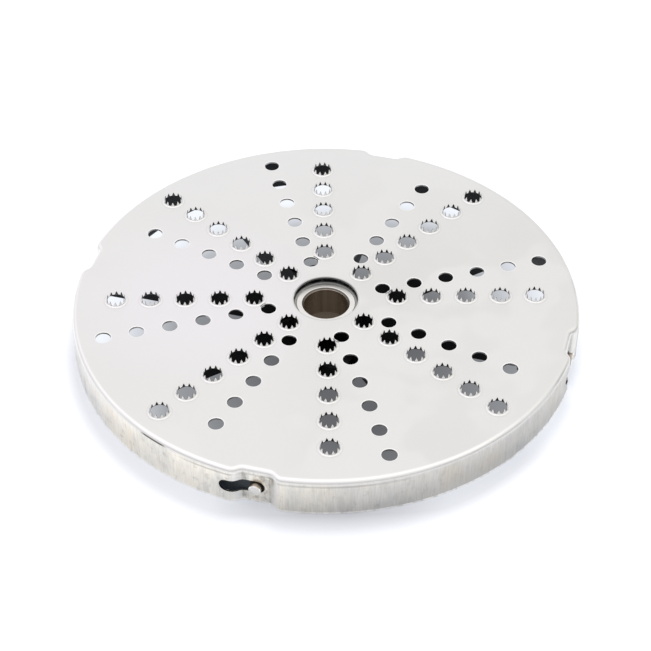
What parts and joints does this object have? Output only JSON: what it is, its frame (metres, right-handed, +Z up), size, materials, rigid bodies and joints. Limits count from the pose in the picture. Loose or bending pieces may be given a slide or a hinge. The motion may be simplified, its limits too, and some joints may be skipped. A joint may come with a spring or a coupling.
{
  "type": "food processor disc",
  "caption": "Perforated stainless shredding disc with raised tooth crowns, locked by a pin bayonet on a moulded hub wheel with a metal shaft bush.",
  "frame": {"origin": "centre of the disc's axis on the plane that the rim's foot stands on", "axes": "+Z up along the disc's axis to the side with the teeth, +X along a row of toothed holes"},
  "size_m": [0.205, 0.205, 0.0191],
  "materials": {
    "stainless_plate": "pale satin stainless, drawn streaks on the rim",
    "black_hub": "black moulded plastic, slightly worn",
    "bush_metal": "turned metal, bright top edge, dull bore",
    "pin_steel": "turned steel pin"
  },
  "bodies": {
    "pan": {"shredding_plate": "stainless_plate"},
    "hub": {"hub_wheel": "black_hub", "hub_bush": "bush_metal", "locking_pin_1": "pin_steel", "locking_pin_2": "pin_steel", "locking_pin_3": "pin_steel", "locking_pin_4": "pin_steel"}
  },
  "joints": [
    {"name": "bayonet_twist", "type": "hinge", "parent": "pan", "child": "hub", "pos_m": [0, 0, 0.008], "axis": [0, 0, 1], "range_deg": [-6, 0]}
  ]
}
